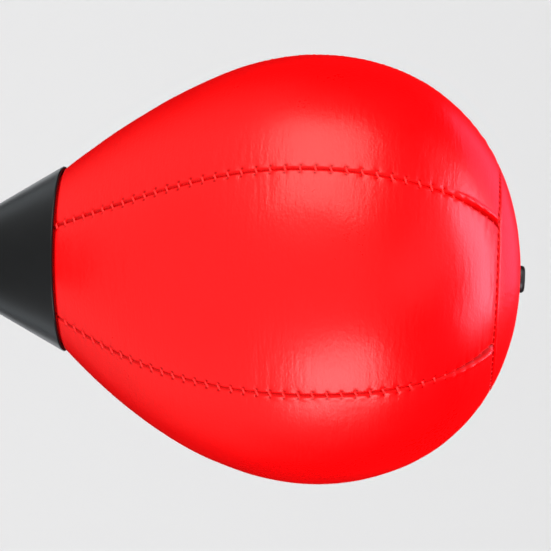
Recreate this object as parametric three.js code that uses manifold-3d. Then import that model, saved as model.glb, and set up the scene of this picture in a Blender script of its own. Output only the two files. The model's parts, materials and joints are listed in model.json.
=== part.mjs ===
// Desktop punching ball: an inflated leather ball in a plastic cone, on a coil spring that stands on
// a twist-lock suction base. Millimetres, +Z up. The origin is the middle of the suction cup's face,
// on the table.
import * as THREE from 'three';
import { mergeVertices } from 'three/addons/utils/BufferGeometryUtils.js';
import Module from 'manifold-3d';

const wasm = await Module();
wasm.setup();

// ---- Driving dimensions ----

const GAP = 0.3; // left between pieces that touch

// Ball
const BALL_RADIUS = 65;
const WIDEST_Z = 283; // height of the ball's widest section
const CROWN_RISE = 62; // from the widest section up to the pole
const GORE_COUNT = 6;
const FIRST_SEAM = THREE.MathUtils.degToRad(-56);
const LEATHER = 1.4;
const BLADDER_WALL = 0.9;
const CROWN_SEAM = 0.668; // place of the crown seam on the upper curve, 0 at the widest, 1 at the pole
const CROWN_SEAM_GAP = 0.0018; // half the open seam, in the same measure
const POLE_Z = WIDEST_Z + CROWN_RISE;
const VALVE_X = 6; // the valve stands to one side of the pole
const VALVE_LEAN = THREE.MathUtils.degToRad(3.6); // squares it to the crown there
const VALVE_DROP = 0.2; // of the crown's face there, below the pole
const VALVE_RADIUS = 4.1;
const VALVE_STEM_RADIUS = 1.9;

// Cone that holds the ball
const RIM_Z = 206.8;
const RIM_RADIUS = 28.2;
const LIP = 1.2; // wall at the rim
const CONE_FOOT_Z = 183.1; // where the cone grows out of its collar
const CONE_FOOT_RADIUS = 14.8;
const CONE_FLOOR_Z = 188;
const CONE_FLOOR_RADIUS = 15.6;
const COLLAR_BOTTOM_Z = 170;

// Spring, and the sockets at its ends
const WIRE_RADIUS = 1.4;
const COIL_RADIUS = 9.6; // to the middle of the wire
const COIL_PITCH = 4;
const SPRING_BOTTOM_Z = 46.3;
const SPRING_TOP_Z = 183.7;
const SOCKET_RADIUS = 11.4;
const COLLAR_RADIUS = 14.6;
const SEAT_FLOOR_Z = 42; // underside of the spring seat's floor
const SEAT_TOP_Z = 60;
const UPPER_PLUG_BOTTOM = 168;
const PLUG_RADIUS = COIL_RADIUS - WIRE_RADIUS - 2 * GAP;

// Clamp in the cone: a bolt through the floor, with its nut under the upper plug
const BOLT_RADIUS = 3;
const BOLT_HOLE_RADIUS = 3.4;
const BOLT_ACROSS_FLATS = 10;
const NECK_HOLE_RADIUS = 4.4; // hole in the cover's neck for the bolt
const COVER_FLANGE_Z = CONE_FLOOR_Z + GAP;
const CLAMP_DISC_Z = COVER_FLANGE_Z + 1.7;
const CLAMP_DISC_THICKNESS = 2.5;
const WASHER_RADIUS = 6.2;
const WASHER_THICKNESS = 1;

// Base
const CUP_RADIUS = 60;
const SEAL_INNER_RADIUS = 50; // the cup touches the table outside this
const CUP_TOP_Z = 5;
const HOUSING_RADIUS = 54;
const SHELF_Z = 22; // the lock ring turns on this shelf
const NECK_RADIUS = 21.5;
const NECK_TOP_Z = 40.4;
const BORE_RADIUS = 15.5; // the lift post slides in this bore
const RING_TOP_Z = NECK_TOP_Z - 0.1;

// Lock: the ring turns by LOCK_TURN and raises the pins by LOCK_LIFT
const LOCK_TURN = Math.PI / 2;
const LOCK_LIFT = 3;
const PIN_COUNT = 3;
const PIN_RADIUS = 1.6;
const PIN_Z = 31.5;
const PIN_INNER_END = 9;
const PIN_OUTER_END = 24.6;
const SCREW_CIRCLE_RADIUS = 18.5;

// Facets
const FINE = 36;
const COARSE = 16;
const BALL_FACETS = 4 * GORE_COUNT;

// ---- Materials ----

const materials = {
  leather: { color: 0xe0202a, roughness: 0.42, metalness: 0 },
  rubber: { color: 0x141416, roughness: 0.55, metalness: 0 },
  latex: { color: 0x2a2a2c, roughness: 0.6, metalness: 0 },
  blackPlastic: { color: 0x1b1b1d, roughness: 0.35, metalness: 0 },
  greyPlastic: { color: 0x55585c, roughness: 0.5, metalness: 0 },
  steel: { color: 0xc4c6ca, roughness: 0.25, metalness: 1 },
};

// ---- Shape helpers ----

// A closed three.js geometry as a solid that can be joined and cut.
function toSolid(geometry) {
  const bare = geometry.clone();
  bare.deleteAttribute('normal');
  bare.deleteAttribute('uv');
  const merged = mergeVertices(bare, 1e-4);
  const corners = merged.index.array;
  const triangles = [];
  for (let i = 0; i < corners.length; i += 3) {
    const [a, b, c] = corners.slice(i, i + 3);
    if (a !== b && b !== c && c !== a) triangles.push(a, b, c);
  }
  return new wasm.Manifold(new wasm.Mesh({
    numProp: 3,
    vertProperties: new Float32Array(merged.attributes.position.array),
    triVerts: new Uint32Array(triangles),
  }));
}

function toGeometry(solid) {
  const mesh = solid.getMesh();
  const geometry = new THREE.BufferGeometry();
  geometry.setAttribute('position', new THREE.BufferAttribute(mesh.vertProperties, 3));
  geometry.setIndex(new THREE.BufferAttribute(mesh.triVerts, 1));
  geometry.computeVertexNormals();
  return geometry;
}

function subtract(body, ...cutters) {
  const solid = cutters.reduce((rest, cutter) => rest.subtract(toSolid(cutter)), toSolid(body));
  return toGeometry(solid);
}

// Revolves an outline of (radius, height) points around Z. The outline starts and ends on the axis,
// or is closed here; its outer side runs upward.
function revolve(points, segments) {
  const outline = points.map(([radius, height]) => new THREE.Vector2(radius, height));
  const onAxis = outline[0].x === 0 && outline.at(-1).x === 0;
  if (!onAxis) outline.push(outline[0].clone());
  return new THREE.LatheGeometry(outline, segments).rotateX(Math.PI / 2);
}

function prism(shape, bottom, height, options = {}) {
  const settings = { depth: height, bevelEnabled: false, ...options };
  return new THREE.ExtrudeGeometry(shape, settings).translate(0, 0, bottom);
}

// A round bar or hole cutter along Z.
function cylinder(radius, bottom, top, segments = COARSE) {
  return new THREE.CylinderGeometry(radius, radius, top - bottom, segments)
    .rotateX(Math.PI / 2)
    .translate(0, 0, (bottom + top) / 2);
}

// A round bar or hole cutter along a radius of the Z axis.
function radialCylinder(radius, inner, outer, angle, height) {
  return new THREE.CylinderGeometry(radius, radius, outer - inner, 12)
    .rotateZ(-Math.PI / 2)
    .translate((inner + outer) / 2, 0, height)
    .rotateZ(angle);
}

function hexagon(acrossFlats) {
  const corners = [];
  const radius = acrossFlats / Math.sqrt(3);
  for (let i = 0; i < 6; i += 1) {
    const angle = (i * Math.PI) / 3;
    corners.push(new THREE.Vector2(radius * Math.cos(angle), radius * Math.sin(angle)));
  }
  return new THREE.Shape(corners);
}

// Points of a curve between two places on it, as [radius, height].
function along(curve, from, to, steps) {
  const points = [];
  for (let i = 0; i <= steps; i += 1) {
    const point = curve.getPoint(from + ((to - from) * i) / steps);
    points.push([point.x, point.y]);
  }
  return points;
}

// Moves an open outline to its left by a distance, with mitred corners.
function offset(points, distance) {
  return points.map((point, i) => {
    const hasBefore = i > 0;
    const hasAfter = i < points.length - 1;
    const incoming = hasBefore ? normal(points[i - 1], point) : normal(point, points[i + 1]);
    const outgoing = hasAfter ? normal(point, points[i + 1]) : incoming;
    const middle = [incoming[0] + outgoing[0], incoming[1] + outgoing[1]];
    const scale = (2 * distance) / (middle[0] ** 2 + middle[1] ** 2);
    return [point[0] + middle[0] * scale, point[1] + middle[1] * scale];
  });
}

// Moves an outline's last point sideways onto the axis.
function toPole(points) {
  return [...points.slice(0, -1), [0, points.at(-1)[1]]];
}

// The unit normal on the left of the line from a to b.
function normal(a, b) {
  const length = Math.hypot(b[0] - a[0], b[1] - a[1]);
  return [(a[1] - b[1]) / length, (b[0] - a[0]) / length];
}

// A sheet of the given thickness behind an open outer outline.
function shell(outer, thickness) {
  return [...outer, ...offset(outer, thickness).reverse()];
}

// ---- The group and its pieces ----

const punchingBall = new THREE.Group();

function addPiece(name, geometry, finish) {
  const mesh = new THREE.Mesh(geometry, new THREE.MeshStandardMaterial(materials[finish]));
  mesh.name = name;
  punchingBall.add(mesh);
  return mesh;
}

function pinAngle(index) {
  return (index * 2 * Math.PI) / PIN_COUNT;
}

function screwAngle(index) {
  return pinAngle(index) + Math.PI / PIN_COUNT;
}

// ---- Suction base ----

function suctionCup() {
  const postPocketRadius = 14.9;
  const postPocketBottom = 8.7;
  const postPocketTop = 15.2;
  const bossRadius = 18;
  const bossTop = 16.4;
  const lip = 1.6;
  const hollowHeight = 3.6;
  const hollow = new THREE.QuadraticBezierCurve(
    new THREE.Vector2(0, hollowHeight),
    new THREE.Vector2(SEAL_INNER_RADIUS * 0.6, hollowHeight),
    new THREE.Vector2(SEAL_INNER_RADIUS, 0),
  );
  const disc = revolve([
    ...along(hollow, 0, 1, 6),
    [CUP_RADIUS, 0],
    [CUP_RADIUS, lip],
    [HOUSING_RADIUS - 1, CUP_TOP_Z],
    [bossRadius, CUP_TOP_Z],
    [bossRadius, bossTop],
    [8.4, bossTop],
    [8.4, postPocketTop],
    [postPocketRadius, postPocketTop],
    [postPocketRadius, postPocketBottom],
    [0, postPocketBottom],
  ], FINE);
  const tabHalfWidth = 7;
  const tabEnd = 64.5;
  const tabCorner = 3;
  const outline = new THREE.Shape();
  outline.moveTo(CUP_RADIUS - 3, -tabHalfWidth);
  outline.lineTo(tabEnd - tabCorner, -tabHalfWidth);
  outline.absarc(tabEnd - tabCorner, -tabHalfWidth + tabCorner, tabCorner, -Math.PI / 2, 0);
  outline.absarc(tabEnd - tabCorner, tabHalfWidth - tabCorner, tabCorner, 0, Math.PI / 2);
  outline.lineTo(CUP_RADIUS - 3, tabHalfWidth);
  const tab = prism(outline, 0.4, lip - 0.6, { curveSegments: 4 }).rotateZ(Math.PI / 2);
  return toGeometry(toSolid(disc).add(toSolid(tab)));
}

function baseHousing() {
  const rimBottom = CUP_TOP_Z + GAP;
  const shoulder = new THREE.QuadraticBezierCurve(
    new THREE.Vector2(HOUSING_RADIUS, 12),
    new THREE.Vector2(HOUSING_RADIUS, SHELF_Z),
    new THREE.Vector2(44, SHELF_Z),
  );
  const innerShoulder = new THREE.QuadraticBezierCurve(
    new THREE.Vector2(42, SHELF_Z - 2.6),
    new THREE.Vector2(51.4, SHELF_Z - 2.6),
    new THREE.Vector2(51.4, 11.5),
  );
  const bell = revolve([
    [46, rimBottom],
    [52, rimBottom],
    [HOUSING_RADIUS, rimBottom + 2],
    ...along(shoulder, 0, 1, 6),
    [NECK_RADIUS, SHELF_Z],
    [NECK_RADIUS, NECK_TOP_Z],
    [BORE_RADIUS, NECK_TOP_Z],
    [BORE_RADIUS, SHELF_Z - 2.6],
    ...along(innerShoulder, 0, 1, 5),
    [51.4, rimBottom + 2.4],
    [46, rimBottom + 2.4],
  ], FINE);
  const cutters = [];
  for (let i = 0; i < PIN_COUNT; i += 1) {
    const slotHeight = LOCK_LIFT + 2 * (PIN_RADIUS + 0.5);
    const slot = new THREE.BoxGeometry(NECK_RADIUS - BORE_RADIUS + 4, 2 * PIN_RADIUS + 0.8, slotHeight)
      .translate((NECK_RADIUS + BORE_RADIUS) / 2, 0, PIN_Z + LOCK_LIFT / 2)
      .rotateZ(pinAngle(i));
    const pilot = cylinder(1.8, NECK_TOP_Z - 10, NECK_TOP_Z + 1, 12)
      .translate(SCREW_CIRCLE_RADIUS, 0, 0)
      .rotateZ(screwAngle(i));
    cutters.push(slot, pilot);
  }
  return subtract(bell, ...cutters);
}

// A groove in the ring's bore that carries one pin up as the ring turns.
function liftGroove(index) {
  const groove = new THREE.BoxGeometry(1, 1, 1, 12, 1, 1);
  const grooveInner = NECK_RADIUS - 1;
  const grooveDepth = PIN_OUTER_END + 0.6 - grooveInner;
  const grooveHeight = 2 * PIN_RADIUS + 1;
  const endRoom = 0.14; // radians past each end of the pin's travel
  const places = groove.attributes.position;
  for (let i = 0; i < places.count; i += 1) {
    const share = places.getX(i) + 0.5;
    const turned = -endRoom + share * (LOCK_TURN + 2 * endRoom);
    const radius = grooveInner + (places.getY(i) + 0.5) * grooveDepth;
    const angle = pinAngle(index) - turned;
    const rise = (LOCK_LIFT * turned) / LOCK_TURN;
    const height = PIN_Z + rise + places.getZ(i) * grooveHeight;
    places.setXYZ(i, radius * Math.cos(angle), radius * Math.sin(angle), height);
  }
  return groove;
}

function lockRing() {
  const flutes = 12;
  const fluteDepth = 1;
  const outerRadius = 39;
  const outline = [];
  const steps = flutes * 4;
  for (let i = 0; i < steps; i += 1) {
    const angle = (i * 2 * Math.PI) / steps;
    const radius = outerRadius - fluteDepth * Math.abs(Math.sin((flutes * angle) / 2)) ** 3;
    outline.push(new THREE.Vector2(radius * Math.cos(angle), radius * Math.sin(angle)));
  }
  const bevel = 1.2;
  const ringBottom = SHELF_Z + 0.4;
  const body = prism(new THREE.Shape(outline), ringBottom + bevel, RING_TOP_Z - ringBottom - 2 * bevel, {
    bevelEnabled: true,
    bevelSegments: 1,
    bevelSize: bevel,
    bevelThickness: bevel,
    bevelOffset: -bevel,
  });
  const bore = cylinder(NECK_RADIUS + GAP, SHELF_Z, NECK_TOP_Z + 1, FINE);
  const hollow = revolve([
    [28, SHELF_Z],
    [35, SHELF_Z],
    [35, RING_TOP_Z - 3],
    [28, RING_TOP_Z - 3],
  ], COARSE);
  const grooves = [];
  for (let i = 0; i < PIN_COUNT; i += 1) grooves.push(liftGroove(i));
  return subtract(body, bore, hollow, ...grooves);
}

function liftPost() {
  const headRadius = BORE_RADIUS - GAP;
  const post = revolve([
    [0, 9],
    [14.5, 9],
    [14.5, 11.8],
    [8, 11.8],
    [8, 25],
    [headRadius, 27],
    [headRadius, 36],
    [7, 36],
    [7, 33.9],
    [0, 33.9],
  ], COARSE);
  const holes = [];
  for (let i = 0; i < PIN_COUNT; i += 1) {
    holes.push(radialCylinder(PIN_RADIUS + GAP, PIN_INNER_END - 0.4, BORE_RADIUS + 1, pinAngle(i), PIN_Z));
  }
  return subtract(post, ...holes);
}

function springSeat() {
  const top = new THREE.QuadraticBezierCurve(
    new THREE.Vector2(34, 43),
    new THREE.Vector2(16, 44.5),
    new THREE.Vector2(COLLAR_RADIUS, 53),
  );
  const floorTop = SPRING_BOTTOM_Z - GAP;
  const screwHoleRadius = 2.8;
  const cap = revolve([
    [screwHoleRadius, SEAT_FLOOR_Z],
    [BORE_RADIUS - 2.5, SEAT_FLOOR_Z],
    [BORE_RADIUS - 2.5, NECK_TOP_Z + GAP],
    [33, NECK_TOP_Z + GAP],
    [34, NECK_TOP_Z + 1.3],
    ...along(top, 0, 1, 6),
    [COLLAR_RADIUS, SEAT_TOP_Z - 0.8],
    [COLLAR_RADIUS - 0.8, SEAT_TOP_Z],
    [SOCKET_RADIUS, SEAT_TOP_Z],
    [SOCKET_RADIUS, floorTop],
    [screwHoleRadius, floorTop],
  ], FINE);
  const cutters = [];
  for (let i = 0; i < PIN_COUNT; i += 1) {
    const hole = cylinder(1.8, NECK_TOP_Z, 44, 12);
    const recess = cylinder(3.2, 43.4, 52, 16);
    for (const cutter of [hole, recess]) {
      cutters.push(cutter.translate(SCREW_CIRCLE_RADIUS, 0, 0).rotateZ(screwAngle(i)));
    }
  }
  return subtract(cap, ...cutters);
}

// A cap screw with a hexagon socket; its head stands on z = 0 and its shaft points down.
function capScrew(headRadius, headHeight, shaftRadius, shaftLength, socketFlats) {
  const screw = revolve([
    [0, -shaftLength],
    [shaftRadius - 0.3, -shaftLength],
    [shaftRadius, -shaftLength + 0.5],
    [shaftRadius, 0],
    [headRadius, 0],
    [headRadius, headHeight - 0.3],
    [headRadius - 0.3, headHeight],
    [0, headHeight],
  ], 16);
  return subtract(screw, prism(hexagon(socketFlats), headHeight * 0.4, headHeight));
}

// ---- Spring and its plugs ----

class Helix extends THREE.Curve {
  constructor(radius, pitch, bottom, top) {
    super();
    Object.assign(this, { radius, pitch, bottom, top });
  }

  getPoint(share, target = new THREE.Vector3()) {
    const height = this.bottom + share * (this.top - this.bottom);
    const angle = (2 * Math.PI * (height - this.bottom)) / this.pitch;
    return target.set(this.radius * Math.cos(angle), this.radius * Math.sin(angle), height);
  }
}

function coilSpring() {
  const bottom = SPRING_BOTTOM_Z + WIRE_RADIUS;
  const top = SPRING_TOP_Z - WIRE_RADIUS;
  const stepsPerTurn = 10;
  const wireSides = 5;
  const section = new THREE.Shape();
  for (let i = 0; i < wireSides; i += 1) {
    const angle = (i * 2 * Math.PI) / wireSides;
    const corner = [WIRE_RADIUS * Math.cos(angle), WIRE_RADIUS * Math.sin(angle)];
    if (i === 0) section.moveTo(...corner);
    else section.lineTo(...corner);
  }
  section.closePath();
  return new THREE.ExtrudeGeometry(section, {
    steps: Math.round(((top - bottom) / COIL_PITCH) * stepsPerTurn),
    extrudePath: new Helix(COIL_RADIUS, COIL_PITCH, bottom, top),
  });
}

// The plugs fill the spring's end coils. Each takes a screw through the floor it stands on.
function lowerPlug() {
  const holeRadius = 2.8;
  const holeTop = SEAT_TOP_Z - 3;
  return revolve([
    [0, holeTop],
    [holeRadius, holeTop],
    [holeRadius, SPRING_BOTTOM_Z],
    [PLUG_RADIUS - 1, SPRING_BOTTOM_Z],
    [PLUG_RADIUS, SPRING_BOTTOM_Z + 1],
    [PLUG_RADIUS, SEAT_TOP_Z - 1],
    [PLUG_RADIUS - 1, SEAT_TOP_Z],
    [0, SEAT_TOP_Z],
  ], COARSE);
}

function upperPlug() {
  return revolve([
    [BOLT_HOLE_RADIUS, UPPER_PLUG_BOTTOM],
    [PLUG_RADIUS - 1, UPPER_PLUG_BOTTOM],
    [PLUG_RADIUS, UPPER_PLUG_BOTTOM + 1],
    [PLUG_RADIUS, SPRING_TOP_Z - 1],
    [PLUG_RADIUS - 1, SPRING_TOP_Z],
    [BOLT_HOLE_RADIUS, SPRING_TOP_Z],
  ], COARSE);
}

// ---- Cone and clamp ----

function coneCup() {
  return revolve([
    [BOLT_HOLE_RADIUS, SPRING_TOP_Z + GAP],
    [SOCKET_RADIUS, SPRING_TOP_Z + GAP],
    [SOCKET_RADIUS, COLLAR_BOTTOM_Z],
    [COLLAR_RADIUS - 1.2, COLLAR_BOTTOM_Z],
    [COLLAR_RADIUS - 0.4, COLLAR_BOTTOM_Z + 0.8],
    [CONE_FOOT_RADIUS, CONE_FOOT_Z],
    [RIM_RADIUS, RIM_Z - 0.3],
    [RIM_RADIUS - 0.3, RIM_Z],
    [RIM_RADIUS - LIP, RIM_Z],
    [CONE_FLOOR_RADIUS, CONE_FLOOR_Z],
    [BOLT_HOLE_RADIUS, CONE_FLOOR_Z],
  ], FINE);
}

// A washer or disc round the clamp bolt.
function washer(outerRadius, bottom, thickness) {
  return revolve([
    [BOLT_HOLE_RADIUS, bottom],
    [outerRadius, bottom],
    [outerRadius, bottom + thickness],
    [BOLT_HOLE_RADIUS, bottom + thickness],
  ], COARSE);
}

function hexNut(bottom, height) {
  const shape = hexagon(BOLT_ACROSS_FLATS);
  shape.holes.push(new THREE.Path().absarc(0, 0, BOLT_HOLE_RADIUS, 0, 2 * Math.PI, true));
  return prism(shape, bottom, height);
}

function hexBolt(headBottom) {
  const headHeight = 4;
  const shaftBottom = UPPER_PLUG_BOTTOM - 9;
  const head = toSolid(prism(hexagon(BOLT_ACROSS_FLATS), headBottom, headHeight));
  const shaft = toSolid(cylinder(BOLT_RADIUS, shaftBottom, headBottom + 1));
  return toGeometry(head.add(shaft));
}

// ---- Ball ----

const lowerCurve = new THREE.CubicBezierCurve(
  new THREE.Vector2(RIM_RADIUS - 0.3, WIDEST_Z - 75.5),
  new THREE.Vector2(35.3, WIDEST_Z - 67.4),
  new THREE.Vector2(BALL_RADIUS, WIDEST_Z - 34),
  new THREE.Vector2(BALL_RADIUS, WIDEST_Z),
);
const upperCurve = new THREE.CubicBezierCurve(
  new THREE.Vector2(BALL_RADIUS, WIDEST_Z),
  new THREE.Vector2(BALL_RADIUS, WIDEST_Z + 35.3),
  new THREE.Vector2(41, POLE_Z),
  new THREE.Vector2(0, POLE_Z),
);

// The cover's outer face from the clamped neck to a place on the upper curve.
function coverOutline(neckRadius, lastPlace) {
  const neck = [
    [neckRadius, COVER_FLANGE_Z],
    [CONE_FLOOR_RADIUS - GAP, COVER_FLANGE_Z],
    [RIM_RADIUS - LIP - 0.5, RIM_Z + 0.1],
  ];
  const lower = along(lowerCurve, 0, 1, 7);
  const upper = along(upperCurve, 0, lastPlace, 6).slice(1);
  return [...neck, ...lower, ...upper];
}

function coverShell() {
  const outer = coverOutline(NECK_HOLE_RADIUS, CROWN_SEAM - CROWN_SEAM_GAP);
  return toSolid(revolve(shell(outer, LEATHER), BALL_FACETS));
}

// One gore: the cover between two seam planes.
function gorePanel(cover, index) {
  const reach = 2 * BALL_RADIUS;
  const sector = (2 * Math.PI) / GORE_COUNT;
  const middle = FIRST_SEAM + (index + 0.5) * sector;
  const apex = GAP / 2 / Math.sin(sector / 2);
  const wedge = new THREE.Shape([
    new THREE.Vector2(apex, 0),
    new THREE.Vector2(apex + reach, -reach * Math.tan(sector / 2)),
    new THREE.Vector2(apex + reach, reach * Math.tan(sector / 2)),
  ]);
  const cutter = prism(wedge, CONE_FLOOR_Z - 10, POLE_Z - CONE_FLOOR_Z + 20).rotateZ(middle);
  return toGeometry(cover.intersect(toSolid(cutter)));
}

// Moves a piece built on the origin, with its outer side up, to the valve's place on the crown.
function toValve(geometry) {
  return geometry.rotateY(VALVE_LEAN).translate(VALVE_X, 0, POLE_Z - VALVE_DROP);
}

function valveHole(radius) {
  const depth = 6;
  const hole = revolve([[0, -depth], [radius, -depth], [radius, depth], [0, depth]], COARSE);
  return toSolid(toValve(hole));
}

function crownPanel() {
  const outer = along(upperCurve, CROWN_SEAM + CROWN_SEAM_GAP, 1, 4);
  const inner = toPole(offset(outer, LEATHER)).reverse();
  const panel = toSolid(revolve([...outer, ...inner], BALL_FACETS));
  return toGeometry(panel.subtract(valveHole(VALVE_RADIUS + 2 * GAP)));
}

function bladder() {
  const bottom = COVER_FLANGE_Z + 10.3; // clear of the clamp bolt's head
  const outer = toPole(offset(coverOutline(NECK_HOLE_RADIUS, 1), LEATHER + GAP));
  const above = outer.filter(([, height]) => height > bottom);
  const slope = (above[0][0] - outer[1][0]) / (above[0][1] - outer[1][1]);
  const bottomRadius = above[0][0] - slope * (above[0][1] - bottom);
  const path = [[bottomRadius, bottom], ...above];
  const inner = toPole(offset([[0, bottom], ...path], BLADDER_WALL));
  const skin = toSolid(revolve([[0, bottom], ...path], BALL_FACETS))
    .subtract(toSolid(revolve(inner, BALL_FACETS)));
  return toGeometry(skin.subtract(valveHole(VALVE_STEM_RADIUS + 2 * GAP)));
}

function airValve() {
  const seat = -LEATHER;
  const valve = revolve([
    [0, seat - 8.6],
    [VALVE_STEM_RADIUS, seat - 8.6],
    [VALVE_STEM_RADIUS, seat],
    [VALVE_RADIUS, seat],
    [VALVE_RADIUS, 0.6],
    [3.4, 1.2],
    [2, 1.5],
    [0.9, 1.5],
    [0.5, 1.1],
    [0.5, seat - 6],
    [0, seat - 6],
  ], COARSE);
  return toValve(valve);
}

// ---- Assembly ----

addPiece('suction_cup', suctionCup(), 'rubber');
addPiece('base_housing', baseHousing(), 'blackPlastic');
addPiece('lock_ring', lockRing(), 'greyPlastic');
addPiece('lift_post', liftPost(), 'greyPlastic');
addPiece('spring_seat', springSeat(), 'blackPlastic');
for (let i = 0; i < PIN_COUNT; i += 1) {
  const pin = radialCylinder(PIN_RADIUS, PIN_INNER_END, PIN_OUTER_END, pinAngle(i), PIN_Z);
  addPiece(`lift_pin_${i + 1}`, pin, 'steel');
  const screw = addPiece(`seat_screw_${i + 1}`, capScrew(2.9, 2.2, 1.5, 12, 2.5), 'steel');
  screw.position.set(
    SCREW_CIRCLE_RADIUS * Math.cos(screwAngle(i)),
    SCREW_CIRCLE_RADIUS * Math.sin(screwAngle(i)),
    43.7,
  );
}

addPiece('lower_spring_plug', lowerPlug(), 'greyPlastic');
const plugScrew = addPiece('lower_plug_screw', capScrew(4.5, 3, 2.5, 14, 4), 'steel');
plugScrew.rotation.x = Math.PI;
plugScrew.position.z = SEAT_FLOOR_Z - GAP;
addPiece('spring', coilSpring(), 'steel');

addPiece('cone_cup', coneCup(), 'blackPlastic');
addPiece('upper_spring_plug', upperPlug(), 'greyPlastic');
const nutWasherZ = UPPER_PLUG_BOTTOM - GAP - WASHER_THICKNESS;
addPiece('nut_washer', washer(WASHER_RADIUS, nutWasherZ, WASHER_THICKNESS), 'steel');
const nutHeight = 5;
addPiece('clamp_nut', hexNut(nutWasherZ - GAP - nutHeight, nutHeight), 'steel');
addPiece('clamp_disc', washer(CONE_FLOOR_RADIUS - 3.1, CLAMP_DISC_Z, CLAMP_DISC_THICKNESS), 'steel');
const clampWasherZ = CLAMP_DISC_Z + CLAMP_DISC_THICKNESS + GAP;
addPiece('clamp_washer', washer(WASHER_RADIUS, clampWasherZ, WASHER_THICKNESS), 'steel');
addPiece('clamp_bolt', hexBolt(clampWasherZ + WASHER_THICKNESS + GAP), 'steel');

const cover = coverShell();
for (let i = 0; i < GORE_COUNT; i += 1) addPiece(`gore_panel_${i + 1}`, gorePanel(cover, i), 'leather');
addPiece('crown_panel', crownPanel(), 'leather');
addPiece('bladder', bladder(), 'latex');
addPiece('air_valve', airValve(), 'rubber');

export default punchingBall;
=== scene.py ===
"""Looks for the desktop punching ball. Lengths are millimetres until a mesh is made."""

import json
import math

import bmesh
import bpy
import numpy as np
from mathutils import Matrix, Vector

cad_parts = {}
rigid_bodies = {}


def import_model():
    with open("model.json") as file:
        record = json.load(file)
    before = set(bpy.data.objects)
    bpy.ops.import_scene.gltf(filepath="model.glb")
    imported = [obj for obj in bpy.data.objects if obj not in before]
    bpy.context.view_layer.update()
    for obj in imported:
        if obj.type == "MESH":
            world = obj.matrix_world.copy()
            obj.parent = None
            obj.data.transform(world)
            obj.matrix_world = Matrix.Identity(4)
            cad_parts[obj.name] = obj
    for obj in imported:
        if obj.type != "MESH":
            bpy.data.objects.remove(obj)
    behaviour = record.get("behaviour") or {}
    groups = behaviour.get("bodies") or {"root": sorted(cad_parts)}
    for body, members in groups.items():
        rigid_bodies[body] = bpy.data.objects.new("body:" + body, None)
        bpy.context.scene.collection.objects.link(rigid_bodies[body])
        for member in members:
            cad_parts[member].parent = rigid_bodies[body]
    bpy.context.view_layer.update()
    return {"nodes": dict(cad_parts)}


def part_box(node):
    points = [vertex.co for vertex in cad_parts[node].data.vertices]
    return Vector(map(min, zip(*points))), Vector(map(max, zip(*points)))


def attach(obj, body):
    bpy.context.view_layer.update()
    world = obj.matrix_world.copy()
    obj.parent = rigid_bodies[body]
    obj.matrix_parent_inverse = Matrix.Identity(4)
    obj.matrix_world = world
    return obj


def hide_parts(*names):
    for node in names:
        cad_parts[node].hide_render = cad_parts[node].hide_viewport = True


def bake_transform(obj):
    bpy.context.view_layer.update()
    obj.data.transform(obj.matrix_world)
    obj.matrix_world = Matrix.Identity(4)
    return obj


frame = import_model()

MM = 0.001

# ---- Sizes read from the frame ----


def box_mm(node):
    low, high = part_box(node)
    return np.array(low) / MM, np.array(high) / MM


def vertices_mm(node):
    data = frame["nodes"][node].data
    return np.array([vertex.co for vertex in data.vertices], float) / MM


def box_middle(node):
    """The middle of a node's box in X and Y."""
    low, high = box_mm(node)
    return (low[0] + high[0]) / 2, (low[1] + high[1]) / 2


GORE_COUNT = 6
GORE_NODES = [f"gore_panel_{index + 1}" for index in range(GORE_COUNT)]
cover_points = np.vstack([vertices_mm(node) for node in GORE_NODES])
cover_radii = np.hypot(cover_points[:, 0], cover_points[:, 1])
BALL_RADIUS = cover_radii.max()
WIDEST_Z = cover_points[cover_radii.argmax(), 2]
POLE_Z = box_mm("crown_panel")[1][2]
RIM_RADIUS = box_mm("cone_cup")[1][0]
COLLAR_BOTTOM_Z, RIM_Z = box_mm("cone_cup")[0][2], box_mm("cone_cup")[1][2]
SEAT_LOW, SEAT_HIGH = box_mm("spring_seat")
RING_LOW, RING_HIGH = box_mm("lock_ring")
HOUSING_LOW, HOUSING_HIGH = box_mm("base_housing")
CUP_HIGH = box_mm("suction_cup")[1]
SPRING_LOW, SPRING_HIGH = box_mm("spring")

# ---- Shape of the ball ----

FIRST_SEAM = math.radians(-56)
FRONT = math.radians(-86)
FRONT_WIDENING = 0.018
CROWN_SEAM_PLACE = 0.674
LEAN = 3.2
LEAN_HEIGHT = 45
# how far the sewn pattern is turned on the ball, towards +X and towards +Y
CROWN_TURN = np.radians([2.8, 4.6])
NECK_TURN = np.radians([-2.2, 0.4])

PROFILE_STEPS = 400
NECK_OUTLINE = [(23.4, RIM_Z - 4.5), (26.3, RIM_Z + 0.2)]
LOWER_CURVE = [
    (RIM_RADIUS - 0.3, WIDEST_Z - 75.5), (35.3, WIDEST_Z - 67.4),
    (BALL_RADIUS, WIDEST_Z - 34), (BALL_RADIUS, WIDEST_Z),
]
UPPER_CURVE = [(BALL_RADIUS, WIDEST_Z), (BALL_RADIUS, WIDEST_Z + 35.3), (41, POLE_Z), (0, POLE_Z)]
WAVE_OCTAVES = 2
WAVES_PER_OCTAVE = 5


def bezier(points, steps):
    """Points of a cubic curve from its four control points."""
    t = np.linspace(0, 1, steps)[:, None]
    a, b, c, d = (np.array(point, float) for point in points)
    return (1 - t) ** 3 * a + 3 * (1 - t) ** 2 * t * b + 3 * (1 - t) * t**2 * c + t**3 * d


def smoothstep(value, low, high):
    """A soft step from 0 below low to 1 above high."""
    t = np.clip((value - low) / (high - low), 0, 1)
    return t * t * (3 - 2 * t)


def bump(distance, width):
    """1 at no distance, falling off softly."""
    return np.exp(-((distance / width) ** 2))


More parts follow.
